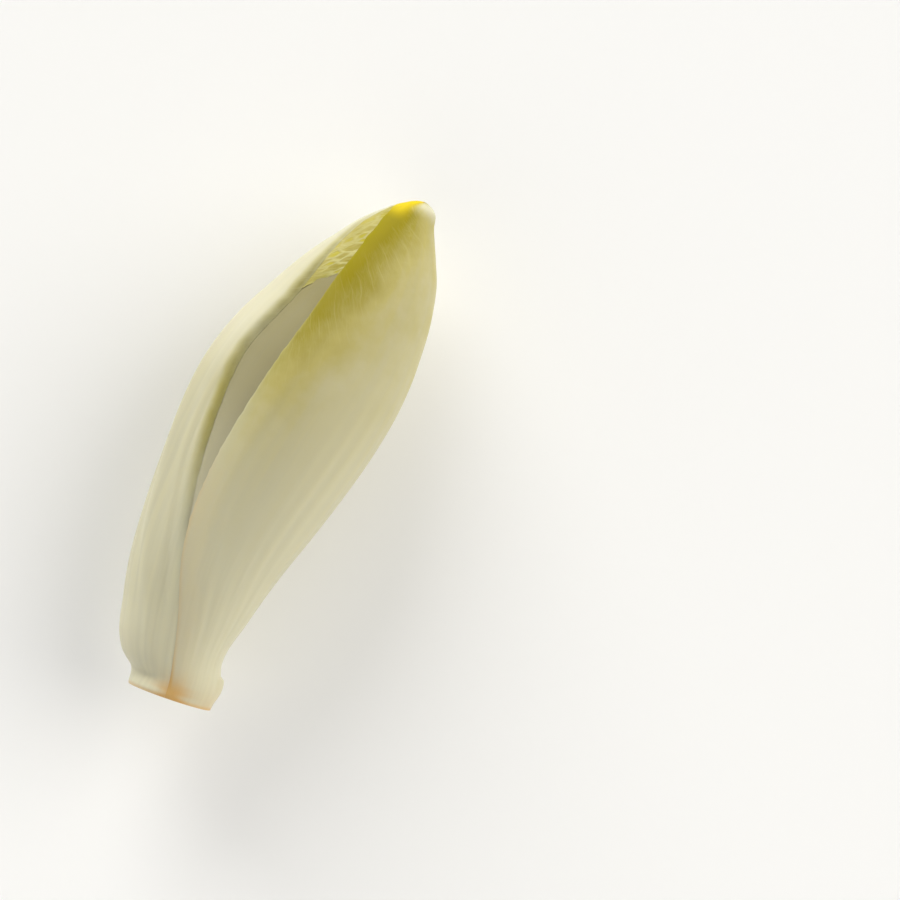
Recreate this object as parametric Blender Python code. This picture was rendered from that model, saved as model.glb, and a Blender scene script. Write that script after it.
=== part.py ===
"""A Belgian endive (witloof) head lying on its belly: fourteen leaves wrapped in a spiral over a
tapered stem core and a heart bud. Metres, +Z up, +X from the cut base to the tip of the leaves.

Every leaf is laid out on one lattice of stations along the head and columns around it, from the
outermost leaf inwards. Each leaf keeps a set depth below the skin of the head, so that the leaves
stay in order, with a small gap between them, wherever they overlap.
"""

import bmesh
import bpy
import numpy as np

MM = 0.001

# ---- Driving dimensions: millimetres along the head or across it, degrees around it ----
# Around the head 0 is the top, 90 is the -Y side and 180 is the underside.
GIRTH = (  # station along the head, radius there
    (0, 11.7), (5, 12.5), (12, 14.2), (30, 18.6), (54, 23.1), (70, 25.5), (86, 26.5),
    (100, 25.5), (114, 22.4), (126, 18.3), (138, 12.4), (146, 7.4), (149, 5.2), (151, 2.9),
)
BOW = ((0, 0), (12, 2.3), (26, 5.4), (45, 7.9), (62, 8), (85, 6.3), (110, 3.1), (130, 1), (151, 0))
LEAN = ((0, 0.2), (5, 0.4), (11, 2.8), (24, 2), (48, 0.2), (84, 0), (120, -0.8), (151, -1))
STATIONS = (0, 4, 8, 13, 20, 30, 41, 53, 66, 76, 88, 100, 110, 119, 127, 134, 140, 145, 148.5, 150.6)
COLUMNS = 24
BELLY_HEIGHT = 24.8  # from the axis down to the flat that the head rests on
LEAF_GAP = 0.3
LEAST_THICKNESS = 0.35
THICKNESS_ALONG = ((0, 0.85), (30, 1), (70, 0.95), (100, 0.8), (126, 0.6), (140, 0.4), (151, 0.25))
EDGE_SHARE = 0.3  # thickness at a leaf's edge, as a share of its rib
EDGE_MARGIN = 3.5  # no column is kept nearer than this to a leaf's edge
CORE_TAPER = ((0, 12), (4, 11), (13, 9), (30, 6), (41, 4), (53, 2))
CORE_STATIONS = 8
HEART_GIRTH = ((66, 8), (76, 12), (88, 14), (110, 10), (127, 4))
HEART_STATIONS = (8, 15)

# The four leaves that show, outermost first: first and last station, rib thickness, and how far
# each edge reaches round the head.
OUTER_LEAVES = (
    (0, 20, 1.9,
     ((0, -4), (22, -9), (37, -18), (46, -21), (90, -21), (107, -25), (120, -32), (134, -36), (151, -44)),
     ((0, 112), (22, 114), (46, 115), (100, 115), (134, 110), (151, 60))),
    (0, 20, 1.9,
     ((0, -170), (20, -205), (46, -244), (60, -250), (120, -250), (140, -235), (151, -190)),
     ((0, 22), (20, 6), (41, -18), (53, -26), (76, -39), (90, -45), (112, -44), (130, -53), (151, -66))),
    (1, 19, 1.4,
     ((0, -160), (40, -170), (100, -176), (130, -190), (151, -170)),
     ((0, -50), (40, -64), (90, -62), (105, -56), (114, -44), (121, -32), (130, -8), (151, 30))),
    (1, 18, 1.7,
     ((0, -62), (40, -78), (90, -82), (130, -95), (151, -60)),
     ((0, 62), (40, 78), (90, 82), (130, 100), (151, 60))),
)
SPIRAL_START = 150
SPIRAL_STEP = 137.5  # the angle from each leaf to the next one in
INNER_LEAVES = (  # first station, last station, rib thickness, half spans at the base, middle, tip
    (0, 18, 1.6, 50, 84, 88),
    (2, 19, 1.5, 46, 80, 95),
    (4, 17, 1.5, 44, 78, 90),
    (4, 17, 1.5, 44, 76, 90),
    (5, 16, 1.4, 46, 74, 88),
    (5, 16, 1.4, 46, 72, 86),
    (6, 15, 1.4, 50, 72, 84),
    (6, 15, 1.4, 50, 70, 82),
    (7, 14, 1.3, 54, 70, 80),
    (7, 14, 1.3, 54, 70, 80),
)

LEAF_COLOUR = (0.86, 0.86, 0.66)
HEART_COLOUR = (0.88, 0.86, 0.42)
STEM_COLOUR = (0.84, 0.74, 0.55)


def through(points):
    """A smooth curve through (place, value) points, flat beyond both ends."""
    places, values = np.array(points, float).T
    slopes = np.gradient(values, places)

    def at(place):
        x = np.clip(place, places[0], places[-1])
        i = np.clip(np.searchsorted(places, x, side="right") - 1, 0, len(places) - 2)
        step = places[i + 1] - places[i]
        t = (x - places[i]) / step
        left = values[i] * (1 + 2 * t) * (1 - t) ** 2 + slopes[i] * step * t * (1 - t) ** 2
        right = values[i + 1] * t**2 * (3 - 2 * t) + slopes[i + 1] * step * t**2 * (t - 1)
        return left + right

    return at


girth, bow, lean = through(GIRTH), through(BOW), through(LEAN)
thickness_along = through(THICKNESS_ALONG)
stations = np.array(STATIONS, float)
columns = np.arange(COLUMNS) * 360 / COLUMNS
COLUMN_STEP = 360 / COLUMNS


def skin_radius():
    """How far the outside of the head is from its axis, at every station and column."""
    around = np.radians(columns)[None, :]
    radius = girth(stations)[:, None] - lean(stations)[:, None] * np.sin(around)
    down = -np.cos(around)
    to_flat = np.where(down > 0.1, BELLY_HEIGHT / np.maximum(down, 0.1), np.inf)
    return np.minimum(radius, to_flat)


skin = skin_radius()


def settled(depth):
    """A depth nowhere less than the given one that also changes gently from node to node."""
    for axis in (1, 0):
        wrap = "wrap" if axis else "edge"
        pad = [(0, 0), (0, 0)]
        pad[axis] = (1, 1)
        wide = np.pad(depth, pad, mode=wrap)
        parts = [np.take(wide, range(k, k + depth.shape[axis]), axis) for k in range(3)]
        wide = np.pad(np.maximum.reduce(parts), pad, mode=wrap)
        parts = [np.take(wide, range(k, k + depth.shape[axis]), axis) for k in range(3)]
        depth = (parts[0] + 2 * parts[1] + parts[2]) / 4
    return depth


def place(station, column, depth):
    """The point that deep under the skin, at a station and a column of the lattice."""
    x = stations[station]
    near = np.clip(x, 1, stations[-1] - 1)
    tangent = np.array([2, float(bow(near + 1) - bow(near - 1))])
    tangent /= np.linalg.norm(tangent)
    angle = np.radians(columns[column % COLUMNS])
    radius = skin[station, column % COLUMNS] - depth
    side = -np.sin(angle) * radius
    return np.array([
        x - tangent[1] * side,
        float(bow(x)) + tangent[0] * side,
        np.cos(angle) * radius,
    ])


def rib_share(station, column, first_edge, last_edge):
    """Thickness at a node, as a share of the rib's: less towards the leaf's edges and both ends."""
    middle = (first_edge + last_edge) / 2
    half = (last_edge - first_edge) / 2
    off = (column * COLUMN_STEP - middle + 180) % 360 - 180
    across = min(1.0, abs(off) / half)
    along = float(thickness_along(stations[station]))
    return along * (1 - (1 - EDGE_SHARE) * across**2)


def row_keys(first_edge, last_edge):
    """The angles at which a row of a leaf has points: its two edges and the columns between."""
    low = int(np.ceil((first_edge + EDGE_MARGIN) / COLUMN_STEP))
    high = int(np.floor((last_edge - EDGE_MARGIN) / COLUMN_STEP))
    return [first_edge] + [k * COLUMN_STEP for k in range(low, high + 1)] + [last_edge]


def row_point(station, key, depths):
    """A point at any angle, on the straight line between the two columns beside it."""
    low = int(np.floor(key / COLUMN_STEP + 1e-9))
    share = key / COLUMN_STEP - low
    near = place(station, low, depths[station, low % COLUMNS])
    if share < 1e-6:
        return near
    far = place(station, low + 1, depths[station, (low + 1) % COLUMNS])
    return near * (1 - share) + far * share


def zip_rows(bm, lower, upper):
    """Fills between two rows of (key, vertex), with a quad wherever both rows have a column."""
    i = j = 0
    while i < len(lower) - 1 or j < len(upper) - 1:
        next_lower = lower[i + 1][0] if i < len(lower) - 1 else np.inf
        next_upper = upper[j + 1][0] if j < len(upper) - 1 else np.inf
        both = i < len(lower) - 1 and j < len(upper) - 1
        ends = both and i == len(lower) - 2 and j == len(upper) - 2
        if both and (abs(next_lower - next_upper) < 1e-6 or ends):
            bm.faces.new((lower[i][1], lower[i + 1][1], upper[j + 1][1], upper[j][1]))
            i += 1
            j += 1
        elif j == len(upper) - 1 or (i < len(lower) - 1 and next_lower < next_upper):
            bm.faces.new((lower[i][1], lower[i + 1][1], upper[j][1]))
            i += 1
        else:
            bm.faces.new((lower[i][1], upper[j + 1][1], upper[j][1]))
            j += 1


def new_object(name, bm, colour, roughness):
    bmesh.ops.recalc_face_normals(bm, faces=bm.faces)
    mesh = bpy.data.meshes.new(name)
    bm.to_mesh(mesh)
    bm.free()
    material = bpy.data.materials.new(name)
    material.use_nodes = True
    shader = material.node_tree.nodes["Principled BSDF"]
    shader.inputs["Base Color"].default_value = (*colour, 1)
    shader.inputs["Roughness"].default_value = roughness
    shader.inputs["Metallic"].default_value = 0
    mesh.materials.append(material)
    obj = bpy.data.objects.new(name, mesh)
    bpy.context.scene.collection.objects.link(obj)
    return obj


def make_leaf(name, first, last, rib, first_curve, last_curve, taken):
    """Makes one leaf under what is already taken, and returns the depths taken after it."""
    outside = settled(taken)
    inside = outside.copy()
    after = taken.copy()
    bm = bmesh.new()
    outer_rows, inner_rows = [], []
    for station in range(first, last):
        edges = [float(curve(stations[station])) for curve in (first_curve, last_curve)]
        keys = row_keys(*edges)
        low = int(np.floor(edges[0] / COLUMN_STEP))
        high = int(np.ceil(edges[1] / COLUMN_STEP))
        for column in range(low, high + 1):
            thickness = max(LEAST_THICKNESS, rib * rib_share(station, column, *edges))
            node = station, column % COLUMNS
            inside[node] = outside[node] + thickness
            after[node] = max(after[node], inside[node] + LEAF_GAP)
        for rows, depths in ((outer_rows, outside), (inner_rows, inside)):
            rows.append([
                (key, bm.verts.new(row_point(station, key, depths) * MM)) for key in keys
            ])
    for rows in (outer_rows, inner_rows):
        for lower, upper in zip(rows, rows[1:]):
            zip_rows(bm, lower, upper)
    for outer, inner in ((outer_rows[0], inner_rows[0]), (outer_rows[-1], inner_rows[-1])):
        for k in range(len(outer) - 1):
            bm.faces.new((outer[k][1], outer[k + 1][1], inner[k + 1][1], inner[k][1]))
    for side in (0, -1):
        for k in range(len(outer_rows) - 1):
            bm.faces.new((
                outer_rows[k][side][1], outer_rows[k + 1][side][1],
                inner_rows[k + 1][side][1], inner_rows[k][side][1],
            ))
    new_object(name, bm, LEAF_COLOUR, 0.42)
    room = (skin - inside)[first:last].min()
    print(f"{name}: stations {stations[first]:.0f} to {stations[last - 1]:.1f}, least radius {room:.1f}")
    return after


def make_plug(name, rows, depths, colour):
    """A closed solid of revolution-like rows, capped flat at both ends."""
    bm = bmesh.new()
    rings = [
        [bm.verts.new(place(station, c, depths[station, c]) * MM) for c in range(COLUMNS)]
        for station in rows
    ]
    for lower, upper in zip(rings, rings[1:]):
        for c in range(COLUMNS):
            d = (c + 1) % COLUMNS
            bm.faces.new((lower[c], lower[d], upper[d], upper[c]))
    bm.faces.new(rings[0])
    bm.faces.new(rings[-1])
    return new_object(name, bm, colour, 0.5)


def rest_on_origin():
    """Moves the head so that its box is centred over the origin and its flat is on Z = 0."""
    objects = list(bpy.context.scene.objects)
    points = np.array([vertex.co for obj in objects for vertex in obj.data.vertices])
    middle = (points.min(axis=0) + points.max(axis=0)) / 2
    middle[2] = points[:, 2].min()
    for obj in objects:
        for vertex in obj.data.vertices:
            vertex.co = [float(c) for c in np.array(vertex.co) - middle]


for old in list(bpy.data.objects):
    bpy.data.objects.remove(old)

taken = np.zeros_like(skin)
number = 1
for first, last, rib, first_edge, last_edge in OUTER_LEAVES:
    name = f"leaf_{number:02d}"
    taken = make_leaf(name, first, last, rib, through(first_edge), through(last_edge), taken)
    number += 1
for k, (first, last, rib, base_span, middle_span, tip_span) in enumerate(INNER_LEAVES):
    centre = (SPIRAL_START + k * SPIRAL_STEP) % 360
    start, end = stations[first], stations[last - 1]
    span = through(((start, base_span), (60, middle_span), (100, middle_span), (end, tip_span)))
    taken = make_leaf(
        f"leaf_{number:02d}", first, last, rib,
        lambda x: centre - span(x), lambda x: centre + span(x), taken,
    )
    number += 1

under = settled(taken)
core = np.maximum(under, skin - through(CORE_TAPER)(stations)[:, None])
heart = np.maximum(under, skin - through(HEART_GIRTH)(stations)[:, None])
make_plug("stem_core", range(CORE_STATIONS), core, STEM_COLOUR)
make_plug("heart_bud", range(*HEART_STATIONS), heart, HEART_COLOUR)
rest_on_origin()
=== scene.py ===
# %% [markdown]
# # A head of Belgian endive
# Belgian endive is the blanched shoot of a chicory root. It is forced in the dark, so its leaves
# stay ivory and only their thin blades, towards the tip and the edges, turn yellow-green. The
# leaves wrap tightly round a short stem, one over the other, and the knife leaves a flat base.
# This notebook lays the head on its belly and makes each leaf as a thin sheet that is bent round
# the leaves under it.

import bmesh
import bpy
import numpy as np
from mathutils import Matrix, Vector


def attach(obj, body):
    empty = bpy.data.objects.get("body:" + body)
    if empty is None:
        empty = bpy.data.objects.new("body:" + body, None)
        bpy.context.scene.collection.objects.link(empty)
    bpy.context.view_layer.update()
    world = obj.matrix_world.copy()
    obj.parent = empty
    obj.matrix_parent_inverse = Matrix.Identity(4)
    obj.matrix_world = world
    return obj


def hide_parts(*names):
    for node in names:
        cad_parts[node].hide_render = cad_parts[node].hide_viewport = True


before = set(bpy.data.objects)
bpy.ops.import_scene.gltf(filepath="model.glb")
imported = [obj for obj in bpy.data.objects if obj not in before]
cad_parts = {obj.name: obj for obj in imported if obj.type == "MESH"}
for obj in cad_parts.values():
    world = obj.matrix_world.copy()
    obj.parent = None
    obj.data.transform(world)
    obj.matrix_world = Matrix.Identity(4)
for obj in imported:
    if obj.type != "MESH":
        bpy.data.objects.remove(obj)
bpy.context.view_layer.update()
MM = 0.001
print("nodes in the frame:", ", ".join(sorted(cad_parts)))

# %% [markdown]
# ## The outline of the head
# A leaf can't be drawn before the shape it lies on. Three curves describe that shape: how wide the
# head is at each place along it, how its middle line bows to one side, and how far each section
# sits off that line. A curve through a handful of points is easy to change, and it gives a smooth
# value anywhere, so every leaf can use the same curves at any fineness.

# %% Curves along the head
def through(points):
    """A smooth curve through (place, value) points, flat beyond both ends."""
    places, values = np.array(points, float).T
    slopes = np.gradient(values, places)

    def at(place):
        x = np.clip(place, places[0], places[-1])
        i = np.clip(np.searchsorted(places, x, side="right") - 1, 0, len(places) - 2)
        step = places[i + 1] - places[i]
        t = (x - places[i]) / step
        left = values[i] * (1 + 2 * t) * (1 - t) ** 2 + slopes[i] * step * t * (1 - t) ** 2
        right = values[i + 1] * t**2 * (3 - 2 * t) + slopes[i + 1] * step * t**2 * (t - 1)
        return left + right

    return at


# Millimetres from the cut along the head, then the radius, the bow or the lean there.
girth = through((
    (0, 11.7), (5, 12.5), (12, 14.2), (30, 18.6), (54, 23.1), (70, 25.5), (86, 26.5),
    (100, 25.5), (114, 22.4), (126, 18.5), (138, 12.5), (146, 6.9), (148.5, 5.1),
    (150.2, 3.4), (151, 1.9), (151.5, 0.3),
))
bow = through((
    (0, 0), (6, 0.85), (12, 2.3), (26, 5.4), (45, 7.9), (62, 8), (85, 6.3), (110, 3.1),
    (130, 1), (138, 0.6), (143, 0.2), (147.5, -0.5), (150.5, -1.9), (151.4, -2.3),
))
lean = through((
    (0, 0.2), (5, 0.4), (11, 2.8), (24, 2), (48, 0.2), (84, 0), (120, -0.6), (140, -0.65),
    (147, -0.7), (149.5, -0.7), (150.6, -0.4), (151.5, 0),
))
WIDEST = 86
BELLY = 24.8  # from the middle line down to the flat that the head rests on
CUT_TO_MIDDLE = (74.243, 5.979, -BELLY)  # from the cut's centre to the middle of the underside
print(f"width at the widest place: {2 * float(girth(WIDEST)):.0f} mm")

# %% Three helpers for soft shapes
def smooth_step(low, high, value):
    """0 below low, 1 above high, and smooth between them."""
    t = np.clip((value - low) / (high - low), 0, 1)
    return t * t * (3 - 2 * t)


def bell(distance, width=1.0):
    """1 at no distance, falling smoothly to nothing within a few widths."""
    return np.exp(-((distance / width) ** 2))


def turned(around, to):
    """How many degrees a direction is from another, from -180 to 180."""
    return (around - to + 180) % 360 - 180


print("halfway:", smooth_step(0, 1, 0.5), "and", turned(350, 10), "degrees")

# %% [markdown]
# The foot is not a plain taper. On one side the trimmed stem keeps a low lip, where the base of an
# outer leaf was pulled away. On the other there is a shallow hollow above the cut, under the
# shoulder of the leaf.

# %% The foot of the head
LIP, HOLLOW, FLARE = 0.95, 1.15, 0.4  # millimetres: outwards, inwards and outwards
HOLLOW_FACES = -42  # degrees round the head


def foot(along, around):
    """What the foot adds to the radius, in millimetres."""
    side = smooth_step(66, 84, around % 360) * (1 - smooth_step(150, 185, around % 360))
    lip = LIP * smooth_step(1.5, 7, along) * (1 - smooth_step(7.5, 8.2, along)) * side
    far = turned(around, HOLLOW_FACES)
    hollow = HOLLOW * bell(along - 4.4, 1.9) * bell(far, 26)
    flare = FLARE * bell(along - 0.8, 1.1) * bell(far, 45)
    return lip - hollow + flare


print("lip stands", round(float(foot(7.2, 110.0)), 2), "mm proud")

# %% A place on the head
LEAST_RADIUS = 0.15  # nothing comes nearer to the middle line than this
LAST_TILT = 139  # beyond this place the sections keep one tilt


def head_radius(along, around):
    """Radius of the outside of the head; around is in degrees, 0 on top and 90 on the -Y side."""
    turn = np.radians(around)
    radius = girth(along) - lean(along) * np.sin(turn) + foot(along, around)
    down = -np.cos(turn)
    to_flat = np.where(down > 0.1, BELLY / np.maximum(down, 0.1), np.inf)
    return np.minimum(radius, to_flat)


def on_head(along, around, depth):
    """Points in metres, at a depth in millimetres under the outside of the head."""
    # Each section stands square to the middle line, whose slope is taken over 2 mm.
    near = np.clip(along, 1, LAST_TILT)
    rise = bow(near + 1) - bow(near - 1)
    length = np.hypot(2, rise)
    turn = np.radians(around)
    radius = np.maximum(head_radius(along, around) - depth, LEAST_RADIUS)
    side = -np.sin(turn) * radius
    spots = np.stack([
        along - rise / length * side,
        bow(along) + 2 / length * side,
        np.cos(turn) * radius,
    ], axis=-1)
    spots = spots - np.array(CUT_TO_MIDDLE)
    spots[..., 2] = np.maximum(spots[..., 2], 0)
    return spots * MM


print("the cut's centre is at", on_head(np.array(0.0), np.array(0.0), np.array(11.7)).round(4))

# %% [markdown]
# ## Packing the leaves
# Leaves touch but don't pass through each other. The trick is to work from the outside in, with a
# map of the whole head that says how deep the space already taken goes. A new leaf lies just
# under that map, smoothed so that it bends gently over the edge of the leaf above it, and then
# the map is deepened by the new leaf's own thickness.

# %% The map of taken depth
ALONG = np.arange(0, 152.5, 0.5)  # millimetres along the head
AROUND = np.arange(0, 360, 1.0)  # degrees round it


def spread(depth, reach, combine):
    """Each cell of the map becomes the most, or the mean, of those within reach of it."""
    rows, columns = reach
    tall = np.pad(depth, ((rows, rows), (0, 0)), mode="edge")
    depth = combine([tall[k:k + len(depth)] for k in range(2 * rows + 1)], axis=0)
    return combine([np.roll(depth, k, axis=1) for k in range(-columns, columns + 1)], axis=0)


def settled(depth):
    """A depth nowhere less than the given one that also changes gently."""
    return spread(spread(depth, (2, 2), np.max), (2, 2), np.mean)


def read_map(depth, along, around):
    """The map's value at any place, from the four cells beside it."""
    row = np.clip(along / ALONG[1], 0, len(ALONG) - 1.001)  # so that there is a row after it
    column = (around % 360) / AROUND[1]
    r, c = np.floor(row).astype(int), np.floor(column).astype(int)
    fr, fc = row - r, column - c
    c0, c1 = c % len(AROUND), (c + 1) % len(AROUND)
    low = depth[r, c0] * (1 - fc) + depth[r, c1] * fc
    high = depth[r + 1, c0] * (1 - fc) + depth[r + 1, c1] * fc
    return low * (1 - fr) + high * fr


taken = np.zeros((len(ALONG), len(AROUND)))
print("map of the head:", taken.shape, "cells")

# %% [markdown]
# ## One leaf, as a row of facts
# Every leaf is the same kind of thing, so a leaf is written as facts and not as a shape: where it
# starts and ends, how far its two edges reach round the head, how thick its rib is, how much its
# margin frills and rolls in, and how far the yellow-green blade has come. The four outermost
# leaves are listed one by one. The inner ones follow the spiral in which a shoot makes its leaves,
# each 137.5 degrees on from the last.

# %% The facts for each leaf
# Lengths are in millimetres and directions in degrees round the head. A pair such as frill or roll
# holds a value for the first edge and one for the last; roll gives how far in and how wide.
# first, last: where the two edges run. least, slope: how deep the leaf keeps where nothing covers it.
# green, band, pale: how green it is along the head, how wide and how strong beside the margin, and
# where the flesh is cream. tip_drop, notch: how far the tip rounds off at its corners, and where and
# how deep it is nicked. rib_at: where the rib runs, as a share of the width. edge_wall: the
# thickness at the edges. ridge, crumple: how high the ridges and the puckers stand. fold: where a
# fold runs. press: how far the margin sinks into the leaf below. fine: the grid. seed: which waves.
CURVES = ("first", "last", "least", "green", "pale", "fold")


def leaf_facts(node, start, end, rib, first, last, **more):
    """The facts of one leaf, with every curve made from its (place, value) points."""
    facts = dict(
        node=node, start=start, end=end, rib=rib, first=first, last=last,
        least=((0, 0), (152, 0)), slope=0.0, frill=(0.25, 0.25), roll=((0.2, 4), (0.2, 4)),
        green=((40, 0), (80, 0.25), (110, 0.7), (138, 1)), band=(10, 0.3), pale=((8, 1), (42, 0)),
        tip_drop=1.5, notch=(0.5, 0.0), ridge=0.12, crumple=0.0, rib_at=0.5, edge_wall=0.3,
        fold=None, press=0.0,
    )
    facts.update(more)
    for name in CURVES:
        if facts[name] is not None:
            facts[name] = through(facts[name])
    return facts


LEAVES = [
    leaf_facts(
        "leaf_01", 0, 151.5, 1.9,
        ((0, -4), (22, -9), (37, -18), (46, -21), (90, -21), (107, -22), (120, -25), (134, -29),
         (141, -37), (145, -53), (148, -84), (151, -112)),
        ((0, 112), (22, 114), (46, 115), (100, 115), (134, 113), (146, 120), (151, 138)),
        frill=(0.08, 0.22), roll=((1.5, 8), (0.3, 4)), tip_drop=0.3, notch=(0.4, 0.3),
        rib_at=0.66, edge_wall=0.15, press=0.22, fine=(190, 250), seed=3, ridge=0.1,
        green=((40, 0), (65, 0.14), (80, 0.32), (95, 0.58), (108, 0.84), (120, 1.0), (130, 1.12),
               (138, 1.25), (146, 1.5)),
        band=(through(((60, 20), (90, 14), (120, 12.5), (138, 11), (151, 7))), 0.25),
        pale=((8, 0.35), (42, 0), (120, 0), (138, 0.1), (147, 0.1), (150, 0.8))),
    leaf_facts(
        "leaf_02", 0, 151.4, 1.9,
        ((0, -252), (60, -250), (120, -250), (140, -249), (151, -236)),
        ((0, 22), (20, 6), (41, -18), (53, -26), (76, -39), (90, -45), (112, -44), (130, -54),
         (142, -68), (151, -95)),
        frill=(0.5, 0.10), roll=((0.3, 4), (2.1, 2.7)), tip_drop=0.6, edge_wall=0.12, press=0.22,
        rib_at=0.55, fine=(220, 220), seed=5, ridge=0.5, band=(2.4, 0.10),
        green=((40, 0), (65, 0.38), (85, 0.65), (100, 0.7), (120, 0.8), (132, 0.65), (142, 0.35),
               (149, 0)),
        fold=((15, -19), (30, -26), (45, -34), (62, -44), (76, -47), (88, -46)),
        pale=((8, 0.5), (30, 0), (80, 0), (96, 0.7), (120, 0.6), (136, 0.7), (147, 1))),
    leaf_facts(
        "leaf_03", 4, 151.4, 1.4,
        ((0, -160), (40, -170), (100, -176), (130, -190), (151, -200)),
        ((0, -50), (40, -64), (90, -66), (107, -56), (114, -44), (121, -29), (130, -8), (151, 30)),
        frill=(0.5, 0.22), roll=((0.2, 4), (0.1, 3)), tip_drop=0.9, edge_wall=0.12, press=0.22,
        fine=(210, 230), seed=7, crumple=0.36, band=(12, 0.5),
        least=((0, 0), (95, 1.2), (107, 1.95), (112, 1.85), (116, 1.62), (124, 1.05), (136, 0.5),
               (146, 0.3)),
        green=((60, 0), (95, 0.3), (110, 0.45), (122, 0.75), (140, 0.85))),
    leaf_facts(
        "leaf_04", 4, 146, 1.7,
        ((0, -62), (40, -78), (90, -82), (130, -95), (151, -60)),
        ((0, 62), (40, 78), (90, 82), (130, 100), (151, 60)),
        least=((0, 0.1), (40, 0.12), (46, 0.2), (50, 0.42), (56, 0.86), (60, 1.14), (66, 1.58),
               (74, 1.86), (84, 1.82), (92, 1.74), (100, 1.78), (112, 1.8), (130, 0.9), (151, 0.8)),
        slope=-0.011, band=(14, 1.0), seed=11, fine=(120, 170),
        green=((40, 0.02), (80, 0.1), (120, 0.25), (146, 0.5)),
        # On this leaf the cream also takes back half of the painted shade, where less shade falls.
        pale=((46, 1), (60, 0.6), (68, 0.45), (80, 0.15), (92, 0))),
]
FIRST_INNER, SPIRAL = 150, 137.5  # degrees: where the first inner leaf faces, and the turn to the next
INNER = (  # start, end, thickness of the rib, then half of its span at the base, middle and tip
    (0, 149.6, 1.6, 50, 84, 110), (8, 149.2, 1.5, 46, 80, 125), (20, 141, 1.5, 44, 78, 90),
    (20, 141, 1.5, 44, 76, 90), (30, 135, 1.4, 46, 74, 88), (30, 135, 1.4, 46, 72, 86),
)
for k, (start, end, rib, base, middle, tip) in enumerate(INNER):
    centre = (FIRST_INNER + k * SPIRAL) % 360
    spans = ((start, base), (60, middle), (100, middle), (end, tip))
    LEAVES.append(leaf_facts(
        f"leaf_{k + 5:02d}", start, end, rib,
        [(v, centre - w) for v, w in spans], [(v, centre + w) for v, w in spans],
        seed=13 + k, frill=(0.5, 0.5), fine=(80, 120) if k < 2 else (50, 80)))
print("leaves made finely:", len(LEAVES))

# %% [markdown]
# ## Frills, ridges and the rolled margin
# A smooth sheet looks like plastic. A real leaf has soft ridges where its parallel veins run, a
# margin that is nibbled and wavy, and an edge that rolls slightly in. Each of these is a small
# change to the sheet, made from a few sine waves with set phases, so that it is irregular but
# always the same.

# %% Irregular waves
def ripple(place, size, seed):
    """Irregular waves between about -1 and 1, whose usual length is size."""
    pick = np.random.default_rng(seed)
    total = 0
    for _ in range(6):
        length = size * pick.uniform(0.55, 1.7)
        total = total + np.sin(2 * np.pi * place / length + pick.uniform(0, 6.28))
    return total / 3


print("a ripple:", ripple(np.arange(4.0), 5, 1).round(2))

# %% [markdown]
# ## Bending a sheet into a leaf
# bmesh gives a flat grid. Each of its points is moved to its own place on the head, and the grid
# keeps its even net of faces, which is what the thickness and the vein pattern need. The same
# pass writes how green, how golden and how brown the leaf is at each point, as attributes that
# the material reads.

# %% Laying out a leaf
ALONG_THE_RIB = through((
    (0, 0.85), (30, 1), (70, 0.95), (100, 0.8), (126, 0.6), (140, 0.4), (148, 0.2), (151, 0.1),
))
FOLD_DIP, FOLD_WIDTH = 0.45, 1.6
TIP_END = 151.35  # no leaf runs on past this place


def thickness_of(facts, along, margin, across):
    """Full at the rib, thin towards the tip, and thinnest in the last millimetres at each edge."""
    body = facts["rib"] * ALONG_THE_RIB(along) * (1 - 0.45 * np.abs(across) ** 2)
    edge = facts["edge_wall"]
    return np.maximum(edge, edge + (body - edge) * smooth_step(0, 9, margin))


def rolled(facts, along, around, near):
    """How far the margins roll in and a fold dips, in millimetres."""
    # The roll is almost nothing at the base and slight at the tip.
    fade = (0.05 + 0.95 * smooth_step(38, 74, along)) * (1 - 0.75 * smooth_step(108, 136, along))
    dip = sum(
        amount * fade * np.clip(1 - gap / width, 0, 1) ** 2
        for (amount, width), gap in zip(facts["roll"], near)
    )
    if facts["fold"]:
        gap = (around - facts["fold"](along)) * np.radians(1) * girth(along)
        fold = FOLD_DIP * bell(gap, FOLD_WIDTH)
        dip = dip + fold * smooth_step(12, 30, along) * (1 - smooth_step(78, 90, along))
    return dip


def least_depth(facts, along, around):
    """How deep a leaf keeps below the outside of the head, even where nothing covers it."""
    # Over 24 degrees beside the top it may rise or sink a little, to lie flush under its neighbour.
    tilt = facts["slope"] * np.clip(turned(around, 0) + 42, 0, 24)
    return facts["least"](along) + tilt * smooth_step(54, 76, along) * (1 - smooth_step(105, 125, along))


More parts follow.
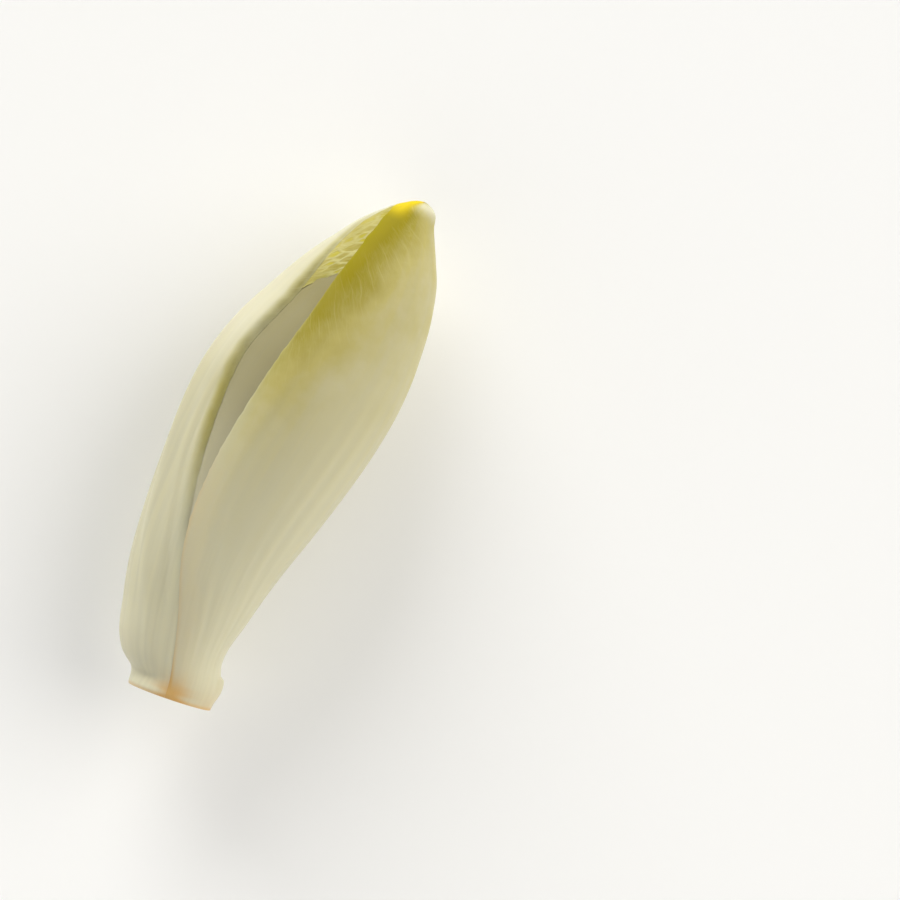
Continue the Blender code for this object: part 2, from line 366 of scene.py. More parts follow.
def lay_out(facts, u, t, outside):
    """Where each point of the sheet goes, and what the material should know there."""
    # Each set of waves adds its own number to the leaf's seed, so that no two sets are alike.
    seed = facts["seed"]
    across = 2 * u - 1
    notch, deep = facts["notch"]
    tip = facts["end"] - facts["tip_drop"] * np.abs(across) ** 3 - deep * bell(u - notch, 0.05)
    # The outline closes just beyond TIP_END, where a longer leaf would make a spike.
    tip = np.minimum(tip + 0.25 * ripple(u, 0.16, seed + 90), TIP_END)
    # More rows at both ends, where the shape changes fastest.
    along = facts["start"] + (t - 0.4 * np.sin(2 * np.pi * t) / (2 * np.pi)) * (tip - facts["start"])
    low, high = facts["first"](along), facts["last"](along)
    reach = np.radians(1) * girth(along)
    near = [(high - low) * u * reach, (high - low) * (1 - u) * reach]
    fade = smooth_step(18, 60, along)
    around = low + (high - low) * u
    for side, way in enumerate((1, -1)):
        nibble = ripple(along, 5, seed + side) + 0.5 * ripple(along, 2.1, seed + side + 50)
        around = around + way * fade * facts["frill"][side] * nibble * np.exp(-near[side] / 2.5) / reach
    depth = np.maximum(read_map(outside, along, around), least_depth(facts, along, around))
    depth = depth + rolled(facts, along, around, near)
    for side in range(2):
        wave = fade * 0.9 * facts["frill"][side] * ripple(along, 6, seed + 20 + side)
        depth = depth - wave * np.exp(-near[side] / 2.2)
    ridges = ripple(across, 0.23, seed + 70) * (1 - smooth_step(70, 135, along))
    inside = smooth_step(0.5, 6, np.minimum(*near)) * smooth_step(3, 14, along) * (girth(along) / 26) ** 1.5
    depth = depth + facts["ridge"] * ridges * inside
    # The crumpled leaf puckers beside its last edge, but only where no leaf lies on it.
    puckers = ripple(along + 0.5 * near[1], 4.5, seed + 31) * ripple(near[1] - 0.4 * along, 4, seed + 37)
    free = 1 - smooth_step(0.02, 0.4, read_map(outside, along, around))
    puckers = puckers * smooth_step(103, 118, along) * np.exp(-near[1] / 9)
    puckers = puckers * (1 - 0.8 * np.exp(-near[1] / 1.2))
    depth = depth - facts["crumple"] * puckers * free
    from_rib = (u - facts["rib_at"]) * (high - low) * reach
    depth = np.minimum(depth, np.maximum(head_radius(along, around) - LEAST_RADIUS, 0))
    return dict(along=along, around=around, depth=depth, near=near, from_rib=from_rib, across=across)


print("helpers ready")

# %% How green, golden and brown
def greens(facts, place):
    """The blade's yellow-green, the tip's gold and the olive beside the first edge, each about 0 to 1."""
    along, around, near = place["along"], place["around"], place["near"]
    first, margin = near[0], np.minimum(*near)
    outermost = facts["node"] == "leaf_01"
    width, rest = facts["band"]
    width = width(along) if callable(width) else width
    # The outermost leaf is greenest beside its first edge and has only a narrow band at the other.
    band = bell(first if outermost else margin, width)
    band = np.maximum(band, 0.22 * bell(near[1], 4))
    green = facts["green"](along) * (rest + (1 - rest) * band)
    lobe = 1 - smooth_step(-34, 8, around)
    gold = smooth_step(142.5, 147.5, along) * lobe * outermost
    olive = bell(first, 3.4) * smooth_step(104, 132, along) * (1 - gold) * outermost
    green = green * (1 - 0.7 * smooth_step(147, 150.5, along) * (1 - lobe) * outermost)
    return np.clip(green, 0, 1.3), gold, olive


def browning(facts, place):
    """How browned the leaf is: at its cut end, in one spot, and along the seam of the outermost leaf, with
    painted warm light in the shade beside that seam.
    """
    along, around, first = place["along"], place["around"], place["near"][0]
    spot = np.hypot(along - 1.6, turned(around, 3) * 0.2 * (1 + 0.25 * ripple(along, 3, 9)))
    brown = 0.85 * bell(spot, 3.9) + 0.55 * (1 - smooth_step(0, 1.3, along))
    brown = brown + 0.3 * bell(turned(around, 70), 40) * bell(along, 4.5)
    # The narrow line is browning at the seam; the faint wide band is painted warm light in the shade beside
    # it.
    seam_and_warmed_shade = bell(first, 0.7) * (0.2 + 0.4 * (1 - smooth_step(5, 16, along))) + 0.16 * bell(first, 5)
    seam_and_warmed_shade = seam_and_warmed_shade * (1 - smooth_step(50, 75, along))
    brown = brown + seam_and_warmed_shade * (facts["node"] == "leaf_01")
    return np.clip(brown, 0, 1)


def tints(facts, place):
    """What the material reads at each point, by the name of its attribute."""
    along, near = place["along"], place["near"]
    green, gold, olive = greens(facts, place)
    torn = smooth_step(117, 127, along) * (1 - smooth_step(140, 147, along)) * bell(near[1], 11)
    return {
        "green": green,
        "gold": gold,
        "olive": olive,
        # Paler along each margin: partly its own colour, partly a painted highlight on the rim.
        "edge": bell(np.minimum(*near), 0.45) * smooth_step(8, 30, along),
        "pale": facts["pale"](along),
        "meridian": place["around"] * 0.35,
        "lace": torn * (facts["node"] == "leaf_03"),
        "brown": browning(facts, place),
    }


print("tints ready")

# %% Making a leaf
CHART_WIDTH, CHART_LENGTH = 100, 160  # millimetres across and along the leaf's own chart
WALL_STEPS = 20
LEAST_WALL = 0.05  # as a share of the thickest
CLEARANCE = 0.03  # between one leaf and the next


def sheet(facts, place, spots, bm):
    """The bent sheet as an object, with its chart and the tints that the material reads."""
    for vertex, spot in zip(bm.verts, spots):
        vertex.co = spot
    bm.verts.index_update()
    chart = bm.loops.layers.uv.new("LeafChart")
    for face in bm.faces:
        face.smooth = True
        for loop in face.loops:
            k = loop.vert.index
            loop[chart].uv = (place["from_rib"][k] / CHART_WIDTH + 0.5, place["along"][k] / CHART_LENGTH)
    # A sharp margin keeps the thin edge from shading like a rounded bar.
    for edge in bm.edges:
        edge.smooth = not edge.is_boundary
    mesh = bpy.data.meshes.new(facts["node"] + "_fine")
    bm.to_mesh(mesh)
    bm.free()
    for name, values in tints(facts, place).items():
        layer = mesh.attributes.new(name, "FLOAT", "POINT")
        layer.data.foreach_set("value", values.astype(np.float32))
    leaf = bpy.data.objects.new(facts["node"] + "_fine", mesh)
    bpy.context.scene.collection.objects.link(leaf)
    return leaf


def give_thickness(leaf, facts, place):
    """Thickens the sheet inwards, by a vertex group that says how thick it is at each point."""
    thick = thickness_of(facts, place["along"], np.minimum(*place["near"]), place["across"])
    room = np.maximum(head_radius(place["along"], place["around"]) - place["depth"], 0.1)
    thick = np.minimum(thick, 0.5 * room)
    share = thick / thick.max()
    group = leaf.vertex_groups.new(name="thickness")
    for step in np.linspace(LEAST_WALL, 1, WALL_STEPS):
        level = np.round(np.clip(share, LEAST_WALL, 1) * WALL_STEPS)
        chosen = np.where(level == round(step * WALL_STEPS))[0]
        group.add([int(k) for k in chosen], float(step), "REPLACE")
    wall = leaf.modifiers.new("thickness", "SOLIDIFY")
    wall.thickness = thick.max() * MM
    wall.vertex_group = group.name
    wall.thickness_vertex_group = 0.02
    wall.offset = -1
    wall.use_even_offset = False


def deepened(facts, taken, outside):
    """The map after the leaf: deeper wherever it lies."""
    along, around = np.meshgrid(ALONG, AROUND, indexing="ij")
    low, high = facts["first"](along), facts["last"](along)
    off = (around - low) % 360
    reach = np.radians(1) * girth(along)
    near = [off * reach, (high - low - off) * reach]
    margin = np.maximum(np.minimum(*near), 0)
    wall = thickness_of(facts, along, margin, 2 * off / (high - low) - 1)
    deep = np.maximum(outside, least_depth(facts, along, around))
    deep = deep + rolled(facts, along, low + off, near) + wall + CLEARANCE
    # A margin is pressed lightly into the leaf under it, so that no crack shows.
    deep = deep - facts["press"] * np.exp(-margin / 0.8)
    covered = (off < high - low + 1) & (along >= facts["start"] - 0.5) & (along <= facts["end"] + 0.5)
    return np.where(covered, np.maximum(taken, deep), taken)


def make_leaf(facts, taken):
    """Makes one leaf under what is already taken and returns the map after it."""
    outside = settled(taken)
    columns, rows = facts["fine"]
    bm = bmesh.new()
    bmesh.ops.create_grid(bm, x_segments=columns, y_segments=rows, size=0.5)
    flat = np.array([v.co for v in bm.verts])
    place = lay_out(facts, flat[:, 0] + 0.5, flat[:, 1] + 0.5, outside)
    leaf = sheet(facts, place, on_head(place["along"], place["around"], place["depth"]), bm)
    give_thickness(leaf, facts, place)
    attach(leaf, "root")
    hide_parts(facts["node"])
    return leaf, deepened(facts, taken, outside)


fine = {}
for facts in LEAVES:
    fine[facts["node"]], taken = make_leaf(facts, taken)
print("made", ", ".join(fine))

# %% Make every leaf face outwards
def face_out(leaf):
    """Turns the sheet round where most of its faces look at the head's middle line."""
    mesh = leaf.data
    normals = np.empty(len(mesh.polygons) * 3, np.float32)
    mesh.polygon_normals.foreach_get("vector", normals)
    centres = np.empty(len(mesh.polygons) * 3, np.float32)
    mesh.polygons.foreach_get("center", centres)
    normals, centres = normals.reshape(-1, 3), centres.reshape(-1, 3)
    line_y = (bow(centres[:, 0] / MM + CUT_TO_MIDDLE[0]) - CUT_TO_MIDDLE[1]) * MM
    middle = np.stack([centres[:, 0], line_y, np.full(len(centres), BELLY * MM)], axis=1)
    outward = float(np.mean(np.sum(normals * (centres - middle), axis=1) > 0))
    if outward < 0.5:
        mesh.flip_normals()
    return outward


for name, leaf in fine.items():
    print(name, f"faced out over {face_out(leaf):.2f} of its area")

# %% [markdown]
# ## The vein pattern
# Chicory has a broad pale rib. Fine veins run up beside it, side veins leave it at a slant and
# branch into a net in the thin blade. The pattern is worked out on the leaf's own chart: one
# direction is the distance from the rib and the other runs from base to tip. Cells of a Voronoi
# texture, stretched along the slant, give the net: its lines are where two cells meet.

# %% Node helpers
def link(tree, source, target):
    tree.links.new(source, target)


def math(tree, operation, *values, clamp=False):
    node = tree.nodes.new("ShaderNodeMath")
    node.operation = operation
    node.use_clamp = clamp
    for k, value in enumerate(values):
        if isinstance(value, (int, float)):
            node.inputs[k].default_value = value
        else:
            link(tree, value, node.inputs[k])
    return node.outputs[0]


def add(tree, first, second):
    return math(tree, "ADD", first, second)


def minus(tree, first, second, clamp=False):
    return math(tree, "SUBTRACT", first, second, clamp=clamp)


def times(tree, first, second, clamp=False):
    return math(tree, "MULTIPLY", first, second, clamp=clamp)


def between(tree, value, low, high, start=0.0, end=1.0):
    """Maps a value smoothly from low..high to start..end."""
    node = tree.nodes.new("ShaderNodeMapRange")
    node.interpolation_type = "SMOOTHSTEP"
    for k, number in zip((1, 2, 3, 4), (low, high, start, end)):
        node.inputs[k].default_value = number
    link(tree, value, node.inputs[0])
    return node.outputs[0]


def vector(tree, x, y):
    node = tree.nodes.new("ShaderNodeCombineXYZ")
    link(tree, x, node.inputs[0])
    link(tree, y, node.inputs[1])
    return node.outputs[0]


def stretched(tree, where, sizes):
    """A place with each of its directions multiplied by a number of its own."""
    node = tree.nodes.new("ShaderNodeVectorMath")
    node.operation = "MULTIPLY"
    node.inputs[1].default_value = sizes
    link(tree, where, node.inputs[0])
    return node.outputs[0]


def noise(tree, where, scale, detail, roughness=0.5):
    node = tree.nodes.new("ShaderNodeTexNoise")
    node.inputs["Scale"].default_value = scale
    node.inputs["Detail"].default_value = detail
    node.inputs["Roughness"].default_value = roughness
    link(tree, where, node.inputs["Vector"])
    return node.outputs["Fac"]


def cell_lines(tree, where, randomness=0.9):
    """Distance to the border between cells of about one unit."""
    node = tree.nodes.new("ShaderNodeTexVoronoi")
    node.feature = "DISTANCE_TO_EDGE"
    node.inputs["Scale"].default_value = 1
    node.inputs["Randomness"].default_value = randomness
    link(tree, where, node.inputs["Vector"])
    return node.outputs["Distance"]


def mixed(tree, share, first, second, mode="MIX"):
    node = tree.nodes.new("ShaderNodeMix")
    node.data_type = "RGBA"
    node.blend_type = mode
    for socket, value in ((node.inputs[0], share), (node.inputs[6], first), (node.inputs[7], second)):
        if isinstance(value, (int, float)):
            socket.default_value = value
        elif isinstance(value, tuple):
            socket.default_value = (*value, 1)
        else:
            link(tree, value, socket)
    return node.outputs[2]


print("node helpers ready")

# %% The vein group
SIDE_SPACING, FORK_SPACING = 6.5, 4.3  # millimetres along the leaf
NET_CELL, TORN_CELL = (0.42, 0.55, 1), (0.40, 0.25, 1)  # cells to a millimetre, across and along


def strand(tree, place, spacing, thin, thick):
    """Thin lines across a coordinate: 1 on a line and 0 between lines."""
    return between(tree, math(tree, "PINGPONG", place, spacing / 2), thin, thick, 1.0, 0.0)


def vein_group():
    tree = bpy.data.node_groups.new("endive veins", "ShaderNodeTree")
    tree.interface.new_socket("Chart", in_out="INPUT", socket_type="NodeSocketVector")
    tree.interface.new_socket("Meridian", in_out="INPUT", socket_type="NodeSocketFloat")
    for name in ("Side veins", "Net", "Long veins", "Splits", "Lace"):
        tree.interface.new_socket(name, in_out="OUTPUT", socket_type="NodeSocketFloat")
    entry = tree.nodes.new("NodeGroupInput")
    leave = tree.nodes.new("NodeGroupOutput")
    parts = tree.nodes.new("ShaderNodeSeparateXYZ")
    link(tree, entry.outputs[0], parts.inputs[0])
    x = times(tree, minus(tree, parts.outputs[0], 0.5), CHART_WIDTH)
    y = times(tree, parts.outputs[1], CHART_LENGTH)
    spot = vector(tree, x, y)
    away = math(tree, "ABSOLUTE", x)
    broad = times(tree, minus(tree, noise(tree, spot, 0.07, 2.0), 0.5), 16.0)
    close = times(tree, minus(tree, noise(tree, spot, 0.35, 2.0), 0.5), 0.9)
    # A side vein leaves the rib at a slant and turns up towards the tip on its way out.
    bend = add(tree, times(tree, away, 0.55), times(tree, times(tree, away, away), 0.022))
    slant = minus(tree, y, bend)
    first = add(tree, slant, add(tree, broad, close))
    side = strand(tree, first, SIDE_SPACING, 0.0, 0.75)
    fork = add(tree, add(tree, first, times(tree, away, 0.35)), times(tree, close, 1.5))
    forks = times(tree, strand(tree, fork, FORK_SPACING, 0.0, 0.35), 0.5)
    shown = between(tree, noise(tree, spot, 0.16, 1.0), 0.36, 0.58, 0.15, 1.0)
    side = times(tree, math(tree, "MAXIMUM", side, forks), shown)
    warped = vector(tree, add(tree, x, close), add(tree, slant, close))
    net = between(tree, cell_lines(tree, stretched(tree, warped, NET_CELL)), 0.0, 0.1, 1.0, 0.0)
    sway = add(tree, entry.outputs[1], times(tree, broad, 0.05))
    drawn_out = vector(tree, times(tree, sway, 0.34), times(tree, y, 0.010))
    long_lines = noise(tree, drawn_out, 1.0, 4.0)
    # Larger torn cells for the crumpled leaf: only some of them are open.
    skewed = vector(tree, add(tree, x, times(tree, close, 1.2)), add(tree, y, times(tree, x, 0.5)))
    torn = stretched(tree, skewed, TORN_CELL)
    border = cell_lines(tree, torn, 1.0)
    picked = tree.nodes.new("ShaderNodeTexVoronoi")
    picked.inputs["Scale"].default_value = 1
    picked.inputs["Randomness"].default_value = 1.0
    link(tree, torn, picked.inputs["Vector"])
    draw = tree.nodes.new("ShaderNodeSeparateColor")
    link(tree, picked.outputs["Color"], draw.inputs[0])
    is_open = math(tree, "GREATER_THAN", draw.outputs[0], 0.55)
    split = times(tree, between(tree, border, 0.10, 0.2), is_open)
    lace_line = between(tree, border, 0.0, 0.2, 1.0, 0.0)
    for k, value in enumerate((side, net, long_lines, split, lace_line)):
        link(tree, value, leave.inputs[k])
    return tree


veins = vein_group()
print("veins give", [item.name for item in veins.interface.items_tree])

# %% [markdown]
# ## The colour of the leaf
# One scale of four colours covers most of the leaf, from the ivory of the rib through the pale and
# the deeper yellow-green of the blade to the gold-green of a margin near the tip. The green
# attribute says how far along that scale a point is, the veins pull it back towards ivory, and
# soft noise keeps it from being even. The other attributes lay cream flesh, the golden tip, the
# torn net and the browning over it. The margins are paler, partly a painted highlight on the rim.
# The leaf that lies in the valley has every colour darkened as painted shade, and a faint painted
# warm light lies beside the outermost leaf's seam.

# %% The leaf material
IVORY = (0.565, 0.536, 0.372)
CREAM = (0.65, 0.617, 0.455)
PALE_BLADE = (0.425, 0.37, 0.125)
DEEP_BLADE = (0.290, 0.245, 0.035)
GOLD_GREEN = (0.245, 0.200, 0.006)
OLIVE = (0.285, 0.232, 0.002)
TIP_GOLD = (0.64, 0.47, 0.008)
BROWNED = (0.60, 0.36, 0.13)
SPLIT_GOLD = (0.48, 0.42, 0.02)
LACE_WHITE = (0.68, 0.66, 0.36)


def attribute(tree, name):
    node = tree.nodes.new("ShaderNodeAttribute")
    node.attribute_name = name
    return node.outputs["Fac"]


def ramp(tree, value, stops):
    node = tree.nodes.new("ShaderNodeValToRGB")
    node.color_ramp.interpolation = "LINEAR"
    while len(node.color_ramp.elements) < len(stops):
        node.color_ramp.elements.new(0.5)
    for element, (where, colour) in zip(node.color_ramp.elements, stops):
        element.position = where
        element.color = (*colour, 1)
    link(tree, value, node.inputs[0])
    return node.outputs[0]


def new_material(name):
    """A new material, its nodes and its main shader."""
    material = bpy.data.materials.new(name)
    material.use_nodes = True
    return material, material.node_tree, material.node_tree.nodes["Principled BSDF"]


def relief(tree, shader, height, strength, distance):
    """Makes the surface look raised where the height is great."""
    bump = tree.nodes.new("ShaderNodeBump")
    bump.inputs["Strength"].default_value = strength
    bump.inputs["Distance"].default_value = distance
    link(tree, height, bump.inputs["Height"])
    link(tree, bump.outputs[0], shader.inputs["Normal"])


def let_light_in(shader, weight, radius, scale):
    """Light sinks into moist flesh and comes out again a little way off."""
    shader.inputs["Subsurface Weight"].default_value = weight
    shader.inputs["Subsurface Radius"].default_value = radius
    shader.inputs["Subsurface Scale"].default_value = scale


def leaf_material(name, vein_strength, painted_shade=(1, 1, 1), shine=0.14, fibre=(0.965, 1.03)):
    """A leaf's skin: how strongly veins and fibres show, how far each colour is darkened as painted shade,
    how it shines.
    """
    material, tree, shader = new_material(name)
    chart = tree.nodes.new("ShaderNodeUVMap")
    chart.uv_map = "LeafChart"
    lines = tree.nodes.new("ShaderNodeGroup")
    lines.node_tree = veins
    link(tree, chart.outputs[0], lines.inputs[0])
    link(tree, attribute(tree, "meridian"), lines.inputs[1])
    side, net, long_veins, split, lace_line = lines.outputs
    coordinates = tree.nodes.new("ShaderNodeTexCoord")
    cloud = noise(tree, coordinates.outputs["Object"], 110.0, 3.0)
    green, gold, olive, edge, pale, lace, brown = (
        attribute(tree, item) for item in ("green", "gold", "olive", "edge", "pale", "lace", "brown")
    )
    # How green: patchy in the blade, streaked along the leaf, paler on veins, and paler at the margin,
    # partly the thin margin's own colour and partly a painted highlight along its rim.
    in_blade = between(tree, green, 0.06, 0.4)
    vein = math(tree, "MAXIMUM", side, times(tree, net, 0.45))
    vein = times(tree, vein, between(tree, green, 0.3, 0.75, 0.1, 1.0))
    patchy = times(tree, minus(tree, cloud, 0.5), times(tree, in_blade, 0.45))
    streak = times(tree, minus(tree, long_veins, 0.5), 0.2)
    amount = add(tree, add(tree, green, patchy), streak)
    amount = times(tree, amount, minus(tree, 1.0, times(tree, vein, vein_strength)))
    amount = times(tree, amount, minus(tree, 1.0, times(tree, edge, 0.3)), clamp=True)
    stops = ((0.0, IVORY), (0.45, PALE_BLADE), (0.8, DEEP_BLADE), (1.0, GOLD_GREEN))
    # Each colour of the scale is darkened by the painted shade, for a leaf that lies in shade.
    painted_shade_stops = [(where, tuple(c * k for c, k in zip(colour, painted_shade))) for where, colour in stops]
    colour = ramp(tree, amount, painted_shade_stops)
    # Over that scale lie the flesh, the fibres, the torn net, the olive edge, the gold and the brown.
    flesh = times(tree, pale, minus(tree, 1.0, amount, clamp=True))
    # The cream flesh keeps only half of the painted shade.
    colour = mixed(tree, flesh, colour, tuple(c * (1 + k) / 2 for c, k in zip(CREAM, painted_shade)))
    fibres = between(tree, long_veins, 0.3, 0.7, *fibre)
    colour = mixed(tree, minus(tree, 1.0, times(tree, pale, 0.6)), colour, fibres, "MULTIPLY")
    colour = mixed(tree, times(tree, times(tree, lace, lace_line), 0.48), colour, LACE_WHITE)
    colour = mixed(tree, times(tree, lace, split), colour, SPLIT_GOLD)
    colour = mixed(tree, times(tree, olive, 0.9), colour, OLIVE)
    colour = mixed(tree, gold, colour, TIP_GOLD)
    # The brown also carries the faint painted warm light beside the outermost leaf's seam.
    colour = mixed(tree, brown, colour, BROWNED)
    link(tree, colour, shader.inputs["Base Color"])
    height = add(tree, times(tree, vein, 0.1), times(tree, long_veins, 0.8))
    torn = times(tree, lace, minus(tree, lace_line, split))
    relief(tree, shader, add(tree, height, times(tree, torn, 0.5)), 0.35, 0.0004)
    # The thin blade is matter than the rib, so that its colour stays deep.
    blade = math(tree, "MAXIMUM", math(tree, "MAXIMUM", olive, gold), amount)
    uneven = between(tree, cloud, 0.3, 0.7, 0.38, 0.48)
    rough = add(tree, uneven, between(tree, blade, 0.1, 0.85, 0.0, 0.3))
    link(tree, rough, shader.inputs["Roughness"])
    shader.inputs["Specular IOR Level"].default_value = shine
    let_light_in(shader, 0.4, (1.0, 0.85, 0.6), 0.0015)
    return material


outer_skin = leaf_material("endive outer leaf", 0.18)
streaked_skin = leaf_material("endive streaked leaf", 0.08, fibre=(0.88, 1.0))
frilled_skin = leaf_material("endive frilled leaf", 0.35, shine=0.08)
# The leaf in the valley between the two outer leaves has every colour darkened as painted shade.
painted_shade_skin = leaf_material("endive leaf with painted shade", 0.15, (0.56, 0.54, 0.47), shine=0.1)
skins = {"leaf_02": streaked_skin, "leaf_03": frilled_skin, "leaf_04": painted_shade_skin}
for name, leaf in fine.items():
    leaf.data.materials.append(skins.get(name, outer_skin))
print("leaf materials on", len(fine), "leaves")

# %% [markdown]
# ## The leaves and the bud inside
# The innermost leaves and the bud are shut in, so their plain solids stay. They still get a leaf's
# colour, because a gap near the tip may show a little of them.

# %% Colour the hidden leaves and the bud
def plain_leaf(name, colour, dark):
    material, tree, shader = new_material(name)
    coordinates = tree.nodes.new("ShaderNodeTexCoord")
    grain = noise(tree, coordinates.outputs["Object"], 160.0, 4.0)
    link(tree, mixed(tree, grain, dark, colour), shader.inputs["Base Color"])
    shader.inputs["Roughness"].default_value = 0.5
    return material


inner_skin = plain_leaf("endive inner leaf", (0.74, 0.70, 0.36), (0.62, 0.56, 0.20))
bud_skin = plain_leaf("endive bud", (0.76, 0.68, 0.20), (0.66, 0.56, 0.10))
for name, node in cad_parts.items():
    if name in fine or name == "stem_core":
        continue
    for k in range(len(node.material_slots)):
        node.material_slots[k].material = bud_skin if name == "heart_bud" else inner_skin
print("hidden pieces coloured")

# %% [markdown]
# ## The cut base
# The knife leaves a flat disc: the stem in the middle, and the ends of the outer leaves grown onto
# it. A thin rim browns first, where the air reaches the cut. The disc and the tapered core behind
# it are one sheet, bent round the middle line. Its rim follows the head's own outline, so that it
# closes the leaves' ends.

# %% The stem and its cut face
# Where along the sheet each part of the stem is, from 0 at the centre of the cut to 1 at the point
# of the core: first the share of the head's radius there, then how far in from the cut it lies.
STEM_SHARE = ((0, 0.75, 0.79, 0.83, 0.86, 0.9, 1), (0.0, 0.985, 1.0, 0.995, 0.8, 0.6, 0.05))
STEM_ALONG = ((0, 0.75, 0.79, 0.83, 0.86, 1), (-0.05, -0.05, 0.12, 0.5, 1.8, 46))
FACE_END = 0.76
LEAF_ENDS = ((0.60, 0.0), (0.76, 1.9), (0.90, 4.1))  # share of the radius, and where each ring sways


def make_stem():
    bm = bmesh.new()
    bmesh.ops.create_grid(bm, x_segments=180, y_segments=110, size=0.5)
    flat = np.array([v.co for v in bm.verts]) + 0.5
    run, around = flat[:, 1], flat[:, 0] * 360
    turn = np.radians(around)
    share = np.interp(run, *STEM_SHARE)
    along = np.interp(run, *STEM_ALONG)
    groove = 0
    for place, phase in LEAF_ENDS:
        ring = place + 0.025 * np.sin(2 * turn + phase) + 0.012 * np.sin(5 * turn + 2 * phase)
        groove = groove + bell(share - ring, 0.012) * (0.65 + 0.35 * np.sin(turn + phase))
    on_face = run < FACE_END
    # Small waves in both directions of the face, so that the cut isn't quite flat.
    grain_x = ripple(share * 12 * np.cos(turn), 5, 401)
    grain_y = ripple(share * 12 * np.sin(turn), 5, 402)
    dip = 0.16 * groove + 0.05 * grain_x * grain_y
    along = along + np.where(on_face, dip + 0.05, 0)
    radius = (head_radius(np.maximum(along, 0), around) - 0.06) * share
    spots = on_head(along, around, head_radius(along, around) - radius)
    for vertex, spot in zip(bm.verts, spots):
        vertex.co = spot
    rims = bm.verts.layers.float.new("ring")
    browns = bm.verts.layers.float.new("browned")
    bm.verts.ensure_lookup_table()
    rim = bell(1 - share, 0.07) * (along < 3)
    spot = np.hypot(share * np.cos(turn) - 0.9, share * np.sin(turn)) / 0.35
    for k, vertex in enumerate(bm.verts):
        vertex[rims] = float(min(groove[k], 1) * on_face[k])
        vertex[browns] = float(min(rim[k] * 0.75 + 0.8 * bell(spot[k]), 1))
    bmesh.ops.remove_doubles(bm, verts=bm.verts, dist=0.00002)
    bmesh.ops.recalc_face_normals(bm, faces=bm.faces)
    for face in bm.faces:
        face.smooth = True
    mesh = bpy.data.meshes.new("stem_fine")
    bm.to_mesh(mesh)
    bm.free()
    stem = bpy.data.objects.new("stem_fine", mesh)
    bpy.context.scene.collection.objects.link(stem)
    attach(stem, "root")
    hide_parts("stem_core")
    return stem


stem = make_stem()
print("stem faces:", len(stem.data.polygons))

# %% The colour of the cut
def cut_material():
    material, tree, shader = new_material("endive stem")
    coordinates = tree.nodes.new("ShaderNodeTexCoord")
    fine_grain = noise(tree, coordinates.outputs["Object"], 900.0, 3.0)
    patches = noise(tree, coordinates.outputs["Object"], 140.0, 3.0, 0.6)
    flesh = mixed(tree, between(tree, patches, 0.35, 0.65), (0.70, 0.63, 0.42), (0.74, 0.71, 0.55))
    flesh = mixed(tree, times(tree, fine_grain, 0.3), flesh, (0.62, 0.52, 0.30))
    flesh = mixed(tree, times(tree, attribute(tree, "ring"), 0.55), flesh, (0.52, 0.42, 0.20))
    browned = times(tree, attribute(tree, "browned"), between(tree, patches, 0.25, 0.6, 0.5, 1.0))
    link(tree, mixed(tree, browned, flesh, (0.58, 0.34, 0.12)), shader.inputs["Base Color"])
    relief(tree, shader, add(tree, fine_grain, patches), 0.4, 0.0003)
    shader.inputs["Roughness"].default_value = 0.5
    let_light_in(shader, 0.3, (1.0, 0.8, 0.5), 0.002)
    return material


stem.data.materials.append(cut_material())
print("the cut is cream, with a browned rim")

# %% [markdown]
# ## Floor, light and camera
# The head lies on a plain pale floor. Three broad lights shape it. The strongest comes in low past
# the tip, from the side that the head bows to. A warm one comes past the tip from the other side,
# and a weak one reaches the base. The pale surroundings fill the rest. The camera looks straight
# down on the head through a long lens.

# %% Floor and surroundings
FLOOR_HALF = 3  # metres
FROM_ABOVE, FROM_LOW = 0.12, 1.6  # how bright the room is overhead, and what it gains lower down
bm = bmesh.new()
bmesh.ops.create_grid(bm, x_segments=1, y_segments=1, size=FLOOR_HALF)
floor_mesh = bpy.data.meshes.new("floor")
bm.to_mesh(floor_mesh)
bm.free()
floor = bpy.data.objects.new("floor", floor_mesh)
bpy.context.scene.collection.objects.link(floor)
paper, _, shader = new_material("pale floor")
shader.inputs["Base Color"].default_value = (0.93, 0.93, 0.925, 1)
shader.inputs["Roughness"].default_value = 0.9
floor_mesh.materials.append(paper)
world = bpy.data.worlds.new("pale room")
bpy.context.scene.world = world
world.use_nodes = True
sky = world.node_tree
where = sky.nodes.new("ShaderNodeTexCoord")
parts = sky.nodes.new("ShaderNodeSeparateXYZ")
link(sky, where.outputs["Generated"], parts.inputs[0])
low_sky = math(sky, "POWER", minus(sky, 1.0, parts.outputs[2], clamp=True), 2.0)
brightness = add(sky, FROM_ABOVE, times(sky, low_sky, FROM_LOW))
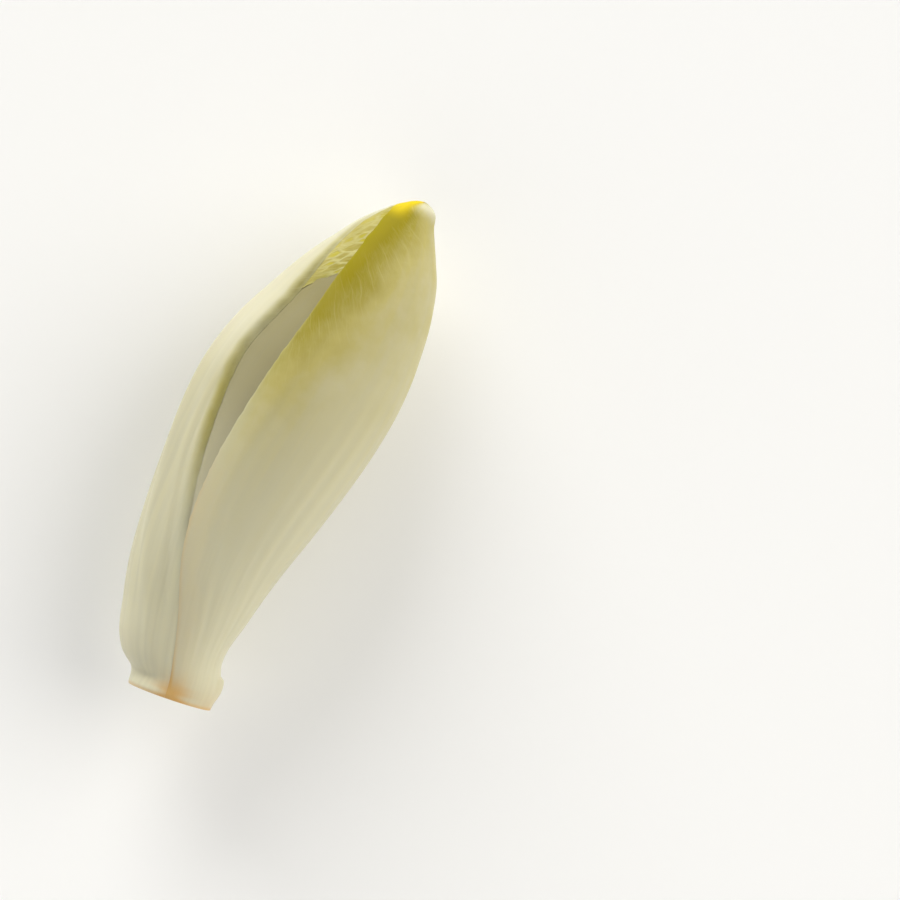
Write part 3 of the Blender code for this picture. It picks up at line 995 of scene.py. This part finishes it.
sky.nodes["Background"].inputs["Color"].default_value = (1, 1, 1, 1)
link(sky, brightness, sky.nodes["Background"].inputs["Strength"])
bpy.context.scene.view_settings.view_transform = "Standard"
print("floor and room ready")

# %% Lights
def soft_sun(name, towards, height, strength, width, colour):
    """A broad distant light: the direction it comes from, its height in degrees and its apparent width."""
    light = bpy.data.lights.new(name, "SUN")
    light.energy = strength
    light.angle = np.radians(width)
    light.color = colour
    lamp = bpy.data.objects.new(name, light)
    lift = np.radians(height)
    source = Vector((np.cos(lift) * towards[0], np.cos(lift) * towards[1], np.sin(lift)))
    lamp.rotation_euler = (-source).to_track_quat("-Z", "Y").to_euler()
    lamp.location = source * 0.6
    bpy.context.scene.collection.objects.link(lamp)


soft_sun("window", (0.76, 0.65), 19, 2.4, 42, (1, 0.995, 0.97))
soft_sun("warm fill", (0.66, -0.75), 36, 1.65, 55, (1, 0.97, 0.90))
soft_sun("base fill", (-0.95, 0.1), 42, 0.42, 60, (1, 0.98, 0.94))

# %% Camera
SIDEWAYS = np.radians(-63.5)  # how far the picture is turned against the head
FRAME_WIDTH = 0.245  # metres of floor across the picture
HEAD_MIDDLE = 75  # millimetres along the head
ASIDE = 0.0427  # metres from the head to the middle of the picture
lens = bpy.data.cameras.new("camera")
lens.lens = 180
lens.sensor_width = 36
camera = bpy.data.objects.new("camera", lens)
bpy.context.scene.collection.objects.link(camera)
right = Vector((np.cos(SIDEWAYS), np.sin(SIDEWAYS), 0))
up = Vector((-np.sin(SIDEWAYS), np.cos(SIDEWAYS), 0))
view = Matrix((right, up, Vector((0, 0, 1)))).transposed()
distance = FRAME_WIDTH * lens.lens / lens.sensor_width
chord_middle = Vector((HEAD_MIDDLE - CUT_TO_MIDDLE[0], -CUT_TO_MIDDLE[1], BELLY)) * MM
looked_at = chord_middle + right * ASIDE
camera.matrix_world = Matrix.Translation(looked_at + Vector((0, 0, distance))) @ view.to_4x4()
bpy.context.scene.camera = camera
print(f"camera {distance:.2f} m above the head")
